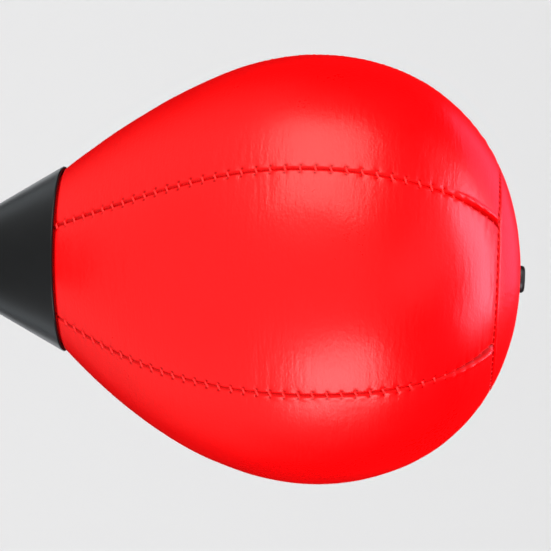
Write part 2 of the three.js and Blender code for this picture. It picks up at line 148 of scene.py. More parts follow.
class Profile:
    """The ball's outline as radius and height over the length along the leather from the neck."""

    def __init__(self):
        lower = bezier(LOWER_CURVE, PROFILE_STEPS)
        upper = bezier(UPPER_CURVE, PROFILE_STEPS)
        points = np.vstack([NECK_OUTLINE, lower, upper[1:]])
        self.length = np.concatenate([[0], np.cumsum(np.hypot(*np.diff(points, axis=0).T))])
        self.radius, self.height = points.T
        last_step = PROFILE_STEPS - 1
        seam_row = len(NECK_OUTLINE) + last_step + CROWN_SEAM_PLACE * last_step
        self.crown_seam = np.interp(seam_row, np.arange(len(points)), self.length)
        self.seam_radius = self.at(self.crown_seam)[0]
        self.pole = self.length[-1]
        # polar form about the middle of the widest section, to slide the pattern over the shape
        above = self.height - WIDEST_Z
        order = np.argsort(np.arctan2(self.radius, above))
        self.polar_angle = np.arctan2(self.radius, above)[order]
        self.polar_reach = np.hypot(self.radius, above)[order]
        self.polar_length = self.length[order]

    def at(self, length):
        radius = np.interp(length, self.length, self.radius)
        return radius, np.interp(length, self.length, self.height)

    def normal_at(self, length):
        step = 0.8
        r0, z0 = self.at(length - step)
        r1, z1 = self.at(length + step)
        size = np.hypot(r1 - r0, z1 - z0)
        return (z1 - z0) / size, -(r1 - r0) / size


profile = Profile()


def turn_towards(x, z, angle):
    """Turns points from z towards x."""
    return x * np.cos(angle) + z * np.sin(angle), z * np.cos(angle) - x * np.sin(angle)


def on_ball(length, azimuth, lift):
    """Places points of the leather pattern on the ball, lifted along the surface's normal."""
    azimuth = azimuth + FRONT_WIDENING * np.sin(azimuth - FRONT)
    radius, height = profile.at(length)
    above = height - WIDEST_Z
    crown_share, neck_share = smoothstep(above, -25, 45), smoothstep(-above, 5, 70)
    turn_x, turn_y = (
        crown * crown_share + neck * neck_share for crown, neck in zip(CROWN_TURN, NECK_TURN)
    )
    x, z = turn_towards(radius * np.cos(azimuth), above, turn_x)
    y, z = turn_towards(radius * np.sin(azimuth), z, turn_y)
    return settle(x, y, z, lift)


def settle(x, y, z, lift):
    """Moves points straight out from the ball's middle onto its surface, then leans them."""
    flat = np.hypot(x, y)
    angle = np.arctan2(flat, z)
    share = np.interp(angle, profile.polar_angle, profile.polar_reach) / np.sqrt(flat**2 + z**2)
    length = np.interp(angle, profile.polar_angle, profile.polar_length)
    normal_r, normal_z = profile.normal_at(length)
    safe = np.maximum(flat, 1e-9)
    px = x * share + x / safe * normal_r * lift
    py = y * share + y / safe * normal_r * lift
    pz = WIDEST_Z + z * share + normal_z * lift
    rise = np.clip((pz - RIM_Z) / LEAN_HEIGHT, 0, 1)
    return np.stack([px + LEAN * (1 - (1 - rise) ** 2), py, pz], axis=-1)


def wave_field(u, v, wavelength, seed):
    """Smooth random waves over two coordinates, about -1 to 1."""
    generator = np.random.default_rng(seed)
    total = np.zeros(np.broadcast(u, v).shape)
    for octave in range(WAVE_OCTAVES):
        for _ in range(WAVES_PER_OCTAVE):
            direction = generator.uniform(0, 2 * math.pi)
            phase = generator.uniform(0, 2 * math.pi)
            stretch = wavelength * generator.uniform(0.7, 1.5)
            frequency = 2 * math.pi / stretch * 1.7**octave
            place = u * math.cos(direction) + v * math.sin(direction)
            waves = np.sin(frequency * place + phase)
            total = total + waves / (WAVES_PER_OCTAVE * 1.6**octave)
    return total


# ---- Mesh helpers ----


def circle(count):
    """Even angles of one full turn."""
    return np.linspace(0, 2 * math.pi, count, endpoint=False)


def polar(radius, angles, height):
    """Points at a distance from Z, at angles round it and at a height."""
    x, y = radius * np.cos(angles), radius * np.sin(angles)
    return np.stack(np.broadcast_arrays(x, y, height), -1)


def add_object(name, data):
    item = bpy.data.objects.new(name, data)
    bpy.context.scene.collection.objects.link(item)
    return item


def mesh_data(name, vertices, faces):
    """Mesh data from millimetre vertices."""
    data = bpy.data.meshes.new(name)
    data.from_pydata((np.asarray(vertices, float) * MM).tolist(), [], faces)
    return data


def make_mesh(name, vertices, faces, material, body, slot, uv=None, shade=None):
    """A mesh piece from millimetre vertices. It rides on a CAD body, unless body is None."""
    data = mesh_data(name, vertices, faces)
    if uv is not None:
        layer = data.uv_layers.new(name="pattern")
        corners = np.empty(len(data.loops), np.int32)
        data.loops.foreach_get("vertex_index", corners)
        layer.data.foreach_set("uv", np.asarray(uv, np.float32)[corners].ravel())
    # shade is painted shade for the leather's seams, kept on the points
    if shade is not None:
        attribute = data.attributes.new("seam_shade", "FLOAT", "POINT")
        attribute.data.foreach_set("value", np.asarray(shade, np.float32))
    data.polygons.foreach_set("use_smooth", [True] * len(data.polygons))
    data.materials.append(material)
    data.validate()
    piece = add_object(name, data)
    if body is not None:
        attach(piece, body)
    return piece


def grid_faces(rows, columns, close_columns=False, close_rows=False):
    """Quads of vertices stored row by row. They face out when rows go up and columns turn left."""
    faces = []
    for row in range(rows if close_rows else rows - 1):
        low, high = row * columns, (row + 1) % rows * columns
        for column in range(columns if close_columns else columns - 1):
            following = (column + 1) % columns
            faces.append((low + column, low + following, high + following, high + column))
    return faces


def tube_faces(rows, columns):
    """Faces of rings joined into a tube that is closed at both ends."""
    ends = [tuple(range(columns))[::-1], tuple(range((rows - 1) * columns, rows * columns))]
    return grid_faces(rows, columns, close_columns=True) + ends


def rounded(points, steps=5):
    """Rounds the corners of a closed outline. Each point is (radius, height, corner size)."""
    corners = np.array(points, float)[:, :2]
    outline = []
    for index, corner in enumerate(corners):
        size = points[index][2]
        if size == 0:
            outline.append(corner)
            continue
        before, after = corners[index - 1] - corner, corners[(index + 1) % len(corners)] - corner
        start = corner + before / np.linalg.norm(before) * size
        end = corner + after / np.linalg.norm(after) * size
        for t in np.linspace(0, 1, steps):
            outline.append((1 - t) ** 2 * start + 2 * (1 - t) * t * corner + t**2 * end)
    return np.array(outline)


def revolve(name, outline, material, body, slot, segments, shape=None):
    """Revolves a closed outline round Z. shape(radius, height, azimuths) gives changed radii."""
    azimuths = circle(segments)
    rings = [polar(shape(r, z, azimuths) if shape else r, azimuths, z) for r, z in outline]
    faces = grid_faces(len(outline), segments, close_columns=True, close_rows=True)
    return make_mesh(name, np.vstack(rings), faces, material, body, slot)


def tube(points, radius, sides, taper=1.0):
    """Vertices and faces of a round tube along points. Its two end rings shrink to taper."""
    points = np.asarray(points, float)
    tangents = np.gradient(points, axis=0)
    tangents /= np.linalg.norm(tangents, axis=1)[:, None]
    reference = np.array([0.0, 0.0, 1.0])
    if abs(tangents[0] @ reference) > 0.9:
        reference = np.array([1.0, 0.0, 0.0])
    side = np.cross(tangents[0], reference)
    side /= np.linalg.norm(side)
    cosines, sines = np.cos(circle(sides))[:, None], np.sin(circle(sides))[:, None]
    rings = []
    for index, (point, tangent) in enumerate(zip(points, tangents)):
        side = side - tangent * (side @ tangent)
        side /= np.linalg.norm(side)
        size = radius * taper if index in (0, len(points) - 1) else radius
        rings.append(point + size * (cosines * side + sines * np.cross(tangent, side)))
    return np.vstack(rings), tube_faces(len(points), sides)


def join_parts(parts):
    """Joins several (vertices, faces) into one list of each."""
    vertices, faces, first = [], [], 0
    for part_vertices, part_faces in parts:
        vertices.append(part_vertices)
        faces += [tuple(first + index for index in face) for face in part_faces]
        first += len(part_vertices)
    return np.vstack(vertices), faces


# ---- Materials ----


class Nodes:
    """Short calls for building a node tree. Bump distances are in metres."""

    def __init__(self, owner, shader="Principled BSDF"):
        owner.use_nodes = True
        self.owner, self.tree = owner, owner.node_tree
        self.shader = self.tree.nodes[shader]

    def feed(self, socket, value):
        """Links an output to a socket, or sets the socket to a value."""
        if isinstance(value, bpy.types.NodeSocket):
            self.tree.links.new(value, socket)
        else:
            socket.default_value = value

    def add(self, kind, settings=None, **inputs):
        """Adds a node. An input goes by its name, or by i and its number."""
        node = self.tree.nodes.new(kind)
        for key, value in (settings or {}).items():
            setattr(node, key, value)
        for key, value in inputs.items():
            by_number = key[0] == "i" and key[1:].isdigit()
            self.feed(node.inputs[int(key[1:]) if by_number else key], value)
        return node

    def set(self, **inputs):
        """Feeds inputs of the shader."""
        for key, value in inputs.items():
            self.feed(self.shader.inputs[key.replace("_", " ")], value)

    def math(self, operation, a, b):
        return self.add("ShaderNodeMath", {"operation": operation}, i0=a, i1=b).outputs[0]

    def times(self, a, b):
        return self.math("MULTIPLY", a, b)

    def plus(self, a, b):
        return self.math("ADD", a, b)

    def ramp(self, value, low, high, out_low=0.0, out_high=1.0):
        settings = {"clamp": True, "interpolation_type": "SMOOTHSTEP"}
        inputs = {"i0": value, "i1": low, "i2": high, "i3": out_low, "i4": out_high}
        return self.add("ShaderNodeMapRange", settings, **inputs).outputs[0]

    def noise(self, vector, scale, detail=3.0, roughness=0.5):
        inputs = {"Vector": vector, "Scale": scale, "Detail": detail, "Roughness": roughness}
        return self.add("ShaderNodeTexNoise", **inputs).outputs["Fac"]

    def mix(self, factor, a, b):
        """A colour between a and b."""
        return self.add("ShaderNodeMix", {"data_type": "RGBA"}, i0=factor, i6=a, i7=b).outputs[2]

    def stretch(self, vector, scale):
        return self.add("ShaderNodeMapping", i0=vector, Scale=scale).outputs[0]

    def bumps(self, height, distance, strength, normal=None):
        node = self.add("ShaderNodeBump", Strength=strength, Distance=distance, Height=height)
        if normal is not None:
            self.feed(node.inputs["Normal"], normal)
        return node.outputs["Normal"]

    def object_point(self):
        return self.add("ShaderNodeTexCoord").outputs["Object"]


def new_material(name):
    return Nodes(bpy.data.materials.new(name))


def leather_material():
    """Smooth red imitation leather. The pattern map is millimetres along and from a seam."""
    n = new_material("red_leather")
    pattern = n.add("ShaderNodeUVMap", {"uv_map": "pattern"}).outputs["UV"]
    split = n.add("ShaderNodeSeparateXYZ", i0=pattern)
    along, from_seam = split.outputs[0], split.outputs[1]
    point = n.object_point()

    blotches = n.noise(point, 28.0, 4.0)
    specks = n.noise(point, 900.0, 2.0)
    tone = n.plus(n.times(blotches, 0.75), n.times(specks, 0.25))
    deep_red, bright_red = (0.88, 0.0005, 0.0014, 1), (0.94, 0.001, 0.0024, 1)
    painted_shade_red = (0.13, 0.0003, 0.0006, 1)
    colour = n.mix(n.ramp(tone, 0.35, 0.65), deep_red, bright_red)
    # Painted shade: the seam shade attribute darkens the colour towards a deep red in seam folds,
    # in needle holes and along the crown seam, and nearly takes away the reflection there.
    shade = n.add("ShaderNodeAttribute", {"attribute_name": "seam_shade"}).outputs["Fac"]
    n.set(Base_Color=n.mix(shade, colour, painted_shade_red))
    n.set(Specular_IOR_Level=n.math("SUBTRACT", 0.5, n.times(shade, 0.48)))

    pores = n.add(
        "ShaderNodeTexVoronoi", {"feature": "SMOOTH_F1"},
        Vector=n.stretch(point, (1.0, 1.0, 1.5)), Scale=1150.0, Smoothness=0.5,
    )
    grain = n.plus(pores.outputs["Distance"], n.times(n.noise(point, 650.0, 4.0, 0.6), 1.6))

    # creases run from a seam into the panel, so their noise is stretched that way and warped
    plane = n.add("ShaderNodeCombineXYZ", i0=along, i1=n.times(from_seam, 0.13))
    warp = n.times(n.noise(plane.outputs[0], 0.22, 2.0), 2.4)
    warped = n.add("ShaderNodeCombineXYZ", i0=n.plus(along, warp), i1=n.times(from_seam, 0.16))
    creases = n.noise(warped.outputs[0], 0.8, 2.0, 0.5)
    patches = n.ramp(n.noise(point, 42.0, 1.5), 0.46, 0.66)
    creasing = n.plus(n.times(patches, 0.6), 0.4)

    grain_normal = n.bumps(grain, 0.00004, 0.7)
    creased = n.times(creases, creasing)
    n.set(Normal=n.bumps(creased, 0.0002, 0.6, grain_normal))
    n.set(Roughness=n.ramp(tone, 0.3, 0.7, 0.27, 0.32))
    return n.owner


def thread_material():
    n = new_material("red_thread")
    point = n.object_point()
    dark_red, light_red = (0.86, 0.006, 0.008, 1), (0.95, 0.022, 0.022, 1)
    n.set(Base_Color=n.mix(n.noise(point, 1800.0), dark_red, light_red), Roughness=0.45)
    n.set(Normal=n.bumps(n.noise(point, 3500.0), 0.00005, 0.6))
    return n.owner


def plastic_material(name, dark, light, roughness, grain=0.35, gloss=0.5):
    """Moulded plastic: faint flow marks, a fine moulded texture, a painted highlight along sharp
    edges and edges polished by handling.
    """
    n = new_material(name)
    point = n.object_point()
    cloud = n.noise(point, 35.0, 5.0)
    # sharp edges get a painted highlight, a lighter colour, and less roughness
    edges = n.ramp(n.add("ShaderNodeNewGeometry").outputs["Pointiness"], 0.505, 0.56)
    colour = n.mix(n.ramp(cloud, 0.35, 0.7), (*dark, 1), (*light, 1))
    painted_edge_highlight = tuple(min(1.0, value * 2.2 + 0.012) for value in light)
    n.set(Base_Color=n.mix(n.times(edges, 0.6), colour, (*painted_edge_highlight, 1)))
    flow = n.noise(n.stretch(point, (1.0, 1.0, 0.12)), 160.0, 3.0)
    n.set(Specular_IOR_Level=gloss)
    polish = n.plus(n.times(flow, 0.16), roughness - 0.08)
    n.set(Roughness=n.math("SUBTRACT", polish, n.times(edges, 0.08)))
    n.set(Normal=n.bumps(n.noise(point, 2200.0, 2.0), 0.00003, grain))
    return n.owner


def rubber_material(name, colour, roughness):
    """Rubber with a faint dusting of a paler shade."""
    n = new_material(name)
    point = n.object_point()
    dust = n.ramp(n.noise(point, 55.0, 6.0), 0.45, 0.75)
    paler = tuple(value * 1.7 + 0.004 for value in colour)
    n.set(Base_Color=n.mix(dust, (*colour, 1), (*paler, 1)))
    n.set(Roughness=n.plus(n.times(dust, 0.15), roughness))
    n.set(Normal=n.bumps(n.noise(point, 1400.0, 3.0), 0.00004, 0.4))
    return n.owner


def metal_material(name, colour, roughness):
    """Plated steel with fine marks in its colour and gloss."""
    n = new_material(name)
    marks = n.noise(n.object_point(), 900.0, 4.0)
    darker = tuple(value * 0.78 for value in colour)
    n.set(Base_Color=n.mix(n.ramp(marks, 0.3, 0.7), (*darker, 1), (*colour, 1)))
    n.set(Metallic=1.0)
    n.set(Roughness=n.ramp(marks, 0.25, 0.75, roughness * 0.75, roughness * 1.3))
    n.set(Normal=n.bumps(marks, 0.00002, 0.35))
    return n.owner


THREAD_LOOK = thread_material()
CONE_LOOK = plastic_material(
    "black_cone_plastic", (0.0030, 0.0036, 0.0042), (0.0050, 0.0058, 0.0066), 0.34, gloss=0.34
)
BASE_LOOK = plastic_material(
    "black_base_plastic", (0.012, 0.012, 0.013), (0.018, 0.018, 0.019), 0.36
)
GREY_LOOK = plastic_material("grey_plastic", (0.085, 0.085, 0.09), (0.11, 0.11, 0.115), 0.48, 0.6)
RUBBER_LOOK = rubber_material("cup_rubber", (0.012, 0.012, 0.013), 0.45)
VALVE_LOOK = rubber_material("valve_rubber", (0.010, 0.010, 0.011), 0.28)
BLADDER_LOOK = rubber_material("bladder_rubber", (0.02, 0.02, 0.021), 0.6)
SPRING_LOOK = metal_material("spring_steel", (0.62, 0.62, 0.64), 0.22)
STEEL_LOOK = metal_material("zinc_steel", (0.56, 0.57, 0.58), 0.34)
LEATHER_LOOK = leather_material()

# ---- Leather panels ----

EDGE_RADIUS = 1.3
CROWN_EDGE_RADIUS = 0.9
EDGE_SLOPE = math.radians(47)
EDGE_STEPS = 6
EDGE_GAP = 0.01
HEM_DEPTH = 1.5
LINING_LIFT = -HEM_DEPTH - 0.15
STITCH_PITCH = 4.0
STITCH_REACH = 1.0
STITCH_SLANT = 0.42
CROWN_STITCH_PITCH = 2.3
SECTOR = 2 * math.pi / GORE_COUNT
SEAM_START = 6.0

# steps and width of a panel's finer grid beside a seam
NEAR_STEPS, NEAR_WIDTH = 8, 4.5
CROWN_NEAR_STEPS, CROWN_NEAR_WIDTH = 5, 3.0
GORE_ROWS = 360
GORE_MIDDLE_STEPS = 20
LINING_ROW_STEP, LINING_COLUMN_STEP = 12, 6
CROWN_ROWS = 44
CROWN_COLUMNS = 360
VALVE_HOLE_RADIUS = 4.3
VALVE_HOLE_ROUNDING = 0.9
VALVE_HOLE_DEPTH = 1.3

# every second gore stands proud beside its seams, at each seam by this share
PROUD_GORES = (1.0, 0.0, 1.0, 0.0, 1.0, 0.0)
SEAM_RIDGES = (1.0, 0.15, 0.5, 0.5, 0.15, 1.0)

# seeds of wave_field
UNEVEN_SEED, FIRST_PUCKER_SEED, LAST_PUCKER_SEED, CROWN_SEED = 20, 40, 41, 77


def rolled_edge(near_steps, near_width, radius):
    """Distances from a seam and the drop of a panel edge that rolls down into it."""
    angles = np.linspace(1, 0, EDGE_STEPS) * EDGE_SLOPE
    distance = EDGE_GAP + radius * (math.sin(EDGE_SLOPE) - np.sin(angles))
    drop = -radius * (1 - np.cos(angles))
    flat = np.linspace(distance[-1], near_width, near_steps + 1)[1:]
    drops = np.concatenate([[-HEM_DEPTH], drop, np.zeros(near_steps)])
    return np.concatenate([[EDGE_GAP], distance, flat]), drops


def stitch_lengths():
    return np.arange(SEAM_START + STITCH_PITCH / 2, profile.crown_seam - 1.5, STITCH_PITCH)


def stitch_offset(length):
    """How far each length is from the nearest stitch."""
    return np.abs(length[..., None] - stitch_lengths()).min(-1)


def seam_lift(length, distance, proud):
    """Height of the leather beside a gore seam, from the pull of the thread and the seam's fold."""
    to_crown = profile.crown_seam - length
    near_crown = 1 - smoothstep(to_crown, 2, 28)
    valley = -(0.25 + 0.15 * near_crown) * np.exp(-distance / (2.2 + 1.2 * near_crown))
    height = 0.05 + 1.03 * near_crown * smoothstep(to_crown, -0.5, 3)
    ridge = proud * height * bump(distance - 1.45, 0.75)
    nearest = stitch_offset(length)
    pull = -0.16 * (1 - 0.7 * near_crown) * bump(nearest, 0.75) * np.exp(-distance / 1.5)
    pillow = 0.10 * (1 - bump(nearest, 1.4)) * bump(distance - 0.9, 0.9)
    from_hole = distance - STITCH_REACH - 0.2
    needle_hole = -0.12 * (1 - near_crown) * bump(nearest, 0.45) * bump(from_hole, 0.4)
    return valley + ridge + pull + pillow + needle_hole


def sharpen(piece, rows, columns, sharp_rows, sharp_columns):
    """Marks the corners where a panel's face turns down into its seam as sharp."""
    edges = np.empty(len(piece.data.edges) * 2, np.int32)
    piece.data.edges.foreach_get("vertices", edges)
    edges = edges.reshape(-1, 2)
    on_face = (edges < rows * columns).all(1)
    row, column = edges // columns, edges % columns
    chosen = [row == at % rows for at in sharp_rows]
    chosen += [column == at % columns for at in sharp_columns]
    sharp = on_face & np.any(np.all(chosen, axis=2), axis=0)
    attribute = piece.data.attributes.new("sharp_edge", "BOOLEAN", "EDGE")
    attribute.data.foreach_set("value", sharp)


def stitch_phase(around):
    """1 at the crown seam's stitches and -1 between them."""
    return np.cos(2 * math.pi * around / CROWN_STITCH_PITCH)


def crown_seam_lift(distance, around, crown_side):
    """Height of the leather beside the crown seam. crown_side is 0 on the gores' side."""
    valley = -0.06 * np.exp(-distance / 1.8)
    ridge = crown_side * 0.33 * bump(distance - 1.15, 0.45)
    pull = -0.07 * (1 + stitch_phase(around)) * np.exp(-distance / 0.8)
    return valley + ridge + pull


def seam_shade(length, distance, side):
    """Painted shade in a gore seam's fold and in the needle holes beside it."""
    near_crown = 1 - smoothstep(profile.crown_seam - length, 4, 26)
    fold = (0.40 + 0.24 * near_crown) * (1 - smoothstep(distance, 0.4, 0.95 + 0.5 * near_crown))
    hole_lengths = length - side * 0.35 * STITCH_SLANT
    holes = bump(stitch_offset(hole_lengths), 0.50) * bump(distance - STITCH_REACH - 0.22, 0.42)
    near_neck = 1 - smoothstep(length, 20, 45)
    return np.maximum(fold, holes * (1 - 0.8 * near_crown) * (1 - 0.6 * near_neck))


def painted_crown_shade(distance, around):
    """Painted shade in the crown seam's fold, deepest at its stitches."""
    phase = 0.5 + 0.5 * stitch_phase(around)
    return (0.50 + 0.24 * phase**2) * (1 - smoothstep(distance, 0.40, 1.0))


def panel_unevenness(length, arc, seed):
    """Soft unevenness of an inflated leather panel."""
    return 0.10 * wave_field(length, arc, 26, seed)


def pucker_lift(length, distance, seed):
    """Short folds square to a gore seam, strongest towards the crown."""
    to_crown = profile.crown_seam - length
    strength = 0.05 + 0.16 * (1 - smoothstep(to_crown, 3, 26))
    folds = wave_field(length, distance * 0.12, 4.2, seed)
    return strength * folds * np.exp(-distance / 5.5) * smoothstep(distance, 0.4, 2.0)


def shell_back(rows, columns, inner_rows, inner_columns, closed=False):
    """Faces of a coarse inner grid at chosen rows and columns, and walls to the outer grid."""
    first, wide, last = rows * columns, len(inner_columns), len(inner_rows) - 1

    def inner(row, column):
        return first + row * wide + column % wide

    def outer(row, column):
        return row * columns + column % columns

    def wall(outer_points, *inner_points):
        return tuple([outer(*at) for at in outer_points] + [inner(*at) for at in inner_points])

    ends = np.append(inner_columns[1:], columns) if closed else inner_columns[1:]
    spans = list(enumerate(zip(inner_columns, ends)))
    faces = []
    for row in range(last):
        for column, _ in spans:
            near, far = (row, column), (row, column + 1)
            faces.append(wall([], near, (row + 1, column), (row + 1, column + 1), far))
    for column, (low, high) in spans:
        bottom = [(0, c) for c in range(high, low - 1, -1)]
        faces.append(wall(bottom, (0, column), (0, column + 1)))
        top = [(rows - 1, c) for c in range(low, high + 1)]
        faces.append(wall(top, (last, column + 1), (last, column)))
    if closed:
        return faces
    for row in range(last):
        low, high = inner_rows[row], inner_rows[row + 1]
        left = [(r, 0) for r in range(low, high + 1)]
        faces.append(wall(left, (row + 1, 0), (row, 0)))
        right = [(r, columns - 1) for r in range(high, low - 1, -1)]
        faces.append(wall(right, (row, wide - 1), (row + 1, wide - 1)))
    return faces


def leather_shell(name, faces, pick, along, azimuth, lift, pattern, shade):
    """A leather panel: an outer grid, and an inner one at the rows and columns in pick."""
    outer = on_ball(along, azimuth, lift)
    inner = on_ball(along[pick], azimuth[pick], np.full(along[pick].shape, LINING_LIFT))
    return make_mesh(
        name, np.vstack([outer.reshape(-1, 3), inner.reshape(-1, 3)]), faces,
        LEATHER_LOOK, "head", "leather",
        uv=np.vstack([pattern.reshape(-1, 2), pattern[pick].reshape(-1, 2)]),
        shade=np.concatenate([shade.ravel(), shade[pick].ravel()]),
    )


def gore_grid():
    """A gore's lengths, distances across, widths, and the drop of its rolled edges."""
    distances, drops = rolled_edge(NEAR_STEPS, NEAR_WIDTH, EDGE_RADIUS)
    end_distances, end_drops = rolled_edge(CROWN_NEAR_STEPS, CROWN_NEAR_WIDTH, CROWN_EDGE_RADIUS)
    lengths = np.linspace(0, profile.crown_seam - CROWN_NEAR_WIDTH, GORE_ROWS)
    lengths = np.concatenate([lengths, profile.crown_seam - end_distances[-2::-1]])
    end_drop = np.concatenate([np.zeros(GORE_ROWS), end_drops[-2::-1]])
    width = profile.at(lengths)[0][:, None] * SECTOR
    middle = np.linspace(0, 1, GORE_MIDDLE_STEPS + 1)[1:-1]
    across = np.hstack([
        np.broadcast_to(distances, (len(lengths), len(distances))),
        NEAR_WIDTH + (width - 2 * NEAR_WIDTH) * middle,
        width - distances[::-1],
    ])
    side_drop = np.concatenate([drops, np.zeros(len(middle)), drops[::-1]])
    along = np.broadcast_to(lengths[:, None], across.shape)
    return along, across, width, side_drop + end_drop[:, None]


def gore(index):
    """One leather gore: a closed shell with edges rolled into its seams."""
    following = (index + 1) % GORE_COUNT
    along, across, width, lift = gore_grid()
    rows, columns = across.shape
    to_seam = np.minimum(across, width - across)
    to_crown = np.abs(profile.crown_seam - along)
    azimuth = FIRST_SEAM + index * SECTOR + across / profile.at(along)[0]
    around = azimuth * profile.seam_radius
    first_side = across < width / 2

    ridges = np.where(first_side, SEAM_RIDGES[index], SEAM_RIDGES[following])
    lift = lift + seam_lift(along, to_seam, PROUD_GORES[index] * ridges)
    lift = lift + crown_seam_lift(to_crown, around, 0.0)
    unevenness = panel_unevenness(along, across, UNEVEN_SEED + index)
    lift = lift + unevenness * smoothstep(along, 6, 20)
    first_pucker = pucker_lift(along, across, FIRST_PUCKER_SEED + index)
    last_pucker = pucker_lift(along, width - across, LAST_PUCKER_SEED + following)
    lift = lift + np.where(first_side, first_pucker, last_pucker)

    inner_rows = np.append(np.arange(0, rows - 1, LINING_ROW_STEP), rows - 1)
    inner_columns = np.append(np.arange(0, columns - 1, LINING_COLUMN_STEP), columns - 1)
    faces = grid_faces(rows, columns) + shell_back(rows, columns, inner_rows, inner_columns)
    pattern = np.stack([along + index * 100 * STITCH_PITCH, to_seam], -1)
    # painted shade of the seam folds, needle holes and crown seam fold, kept on the mesh
    painted_fold_and_hole_shade = seam_shade(along, to_seam, np.where(first_side, -1.0, 1.0))
    piece = leather_shell(
        f"leather_gore_{index + 1}", faces, np.ix_(inner_rows, inner_columns),
        along, azimuth, lift, pattern, np.maximum(painted_fold_and_hole_shade, painted_crown_shade(to_crown, around)),
    )
    sharpen(piece, rows, columns, [-2], [1, -2])
    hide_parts(GORE_NODES[index])


def crown():
    """The round crown panel, with its rim rolled into the crown seam and a hole for the valve."""
    edge_distances, edge_drops = rolled_edge(CROWN_NEAR_STEPS, CROWN_NEAR_WIDTH, CROWN_EDGE_RADIUS)
    hole_length = profile.pole - VALVE_HOLE_RADIUS
    flat_end = hole_length - VALVE_HOLE_ROUNDING
    flat_lengths = np.linspace(profile.crown_seam + CROWN_NEAR_WIDTH, flat_end, CROWN_ROWS)[1:]
    hole_angles = np.radians([30, 60, 90])
    lengths = np.concatenate([
        profile.crown_seam + edge_distances, flat_lengths,
        flat_end + VALVE_HOLE_ROUNDING * np.sin(hole_angles), [hole_length],
    ])
    drop = np.concatenate([
        edge_drops, np.zeros(len(flat_lengths)),
        -VALVE_HOLE_ROUNDING * (1 - np.cos(hole_angles)), [-VALVE_HOLE_DEPTH],
    ])
    rows = len(lengths)
    along, azimuth = np.meshgrid(lengths, circle(CROWN_COLUMNS), indexing="ij")
    from_seam = along - profile.crown_seam
    around = azimuth * profile.seam_radius
    x, y = (profile.at(along)[0] * turn for turn in (np.cos(azimuth), np.sin(azimuth)))

    # the ridge beside the crown seam is low at the two ends of the picture's outline
    outline_ridge = 1 - 0.75 * np.cos(azimuth) ** 6
    lift = drop[:, None] + crown_seam_lift(from_seam, around, outline_ridge)
    lift = lift + 0.07 * wave_field(x, y, 22, CROWN_SEED)
    to_corner = np.abs((azimuth - FIRST_SEAM + SECTOR / 2) % SECTOR - SECTOR / 2)
    corner = bump(to_corner * profile.seam_radius, 2.6)
    lift = lift - 0.22 * corner * np.exp(-from_seam / 2.5)

    back_rows = np.array([0, rows // 2, rows - 1])
    back_columns = np.arange(0, CROWN_COLUMNS, 12)
    faces = grid_faces(rows, CROWN_COLUMNS, close_columns=True)
    faces += shell_back(rows, CROWN_COLUMNS, back_rows, back_columns, closed=True)
    piece = leather_shell(
        "leather_crown", faces, np.ix_(back_rows, back_columns),
        along, azimuth, lift, np.stack([x + 6600, y + 200], -1), painted_crown_shade(from_seam, around),
    )
    sharpen(piece, rows, CROWN_COLUMNS, [1], [])
    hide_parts("crown_panel")


for gore_index in range(GORE_COUNT):
    gore(gore_index)
crown()

# ---- Thread ----

THREAD_RADIUS = 0.34
CROWN_THREAD_RADIUS = 0.20
CROWN_STITCH_REACH = 0.55
CROWN_STITCH_SLANT = 0.38
THREAD_TAPER = 0.55
# seeds, and how much the stitches' place, slant and reach vary
GORE_THREAD_SEED, CROWN_THREAD_SEED = 100, 200
PLACE_SPREAD, SLANT_SPREAD, REACH_SPREAD = 0.06, 0.05, 0.04


def gore_threads(index):
    """The slanted stitches that cross one gore seam."""
    azimuth = FIRST_SEAM + index * SECTOR
    generator = np.random.default_rng(GORE_THREAD_SEED + index)
    t = np.linspace(-1, 1, 11)
    parts = []
    for length in stitch_lengths():
        length = length + generator.normal(0, PLACE_SPREAD)
        slant = STITCH_SLANT + generator.normal(0, SLANT_SPREAD)
        reach = STITCH_REACH + generator.normal(0, REACH_SPREAD)
        lengths = length + slant * t
        buried = 0.8 * (1 - smoothstep(profile.crown_seam - length, 14, 30))
        over = -0.06 - buried - 0.02 * np.abs(t) - 0.9 * smoothstep(np.abs(t), 0.75, 1.0)
        dip = seam_lift(lengths, np.full(t.shape, 0.9), 0.5)
        azimuths = azimuth + t * reach / profile.at(lengths)[0]
        points = on_ball(lengths, azimuths, dip + over)
        parts.append(tube(points, THREAD_RADIUS, 8, THREAD_TAPER))
    name = f"gore_seam_thread_{index + 1}"
    make_mesh(name, *join_parts(parts), THREAD_LOOK, "head", "leather")


def crown_threads():
    """The fine stitches round the crown seam."""
    generator = np.random.default_rng(CROWN_THREAD_SEED)
    count = round(2 * math.pi * profile.seam_radius / CROWN_STITCH_PITCH)
    t = np.linspace(-1, 1, 9)
    lengths = profile.crown_seam + CROWN_STITCH_REACH * t
    over = -0.26 - 0.03 * np.abs(t) - 0.6 * smoothstep(np.abs(t), 0.7, 1.0)
    parts = []
    for index in range(count):
        azimuth = 2 * math.pi * (index + 0.5 + generator.normal(0, PLACE_SPREAD)) / count
        azimuths = azimuth + CROWN_STITCH_SLANT * t / profile.seam_radius
        parts.append(tube(on_ball(lengths, azimuths, over), CROWN_THREAD_RADIUS, 6, THREAD_TAPER))
    make_mesh("crown_seam_thread", *join_parts(parts), THREAD_LOOK, "head", "leather")


for seam_index in range(GORE_COUNT):
    gore_threads(seam_index)
crown_threads()

# ---- Valve and bladder ----


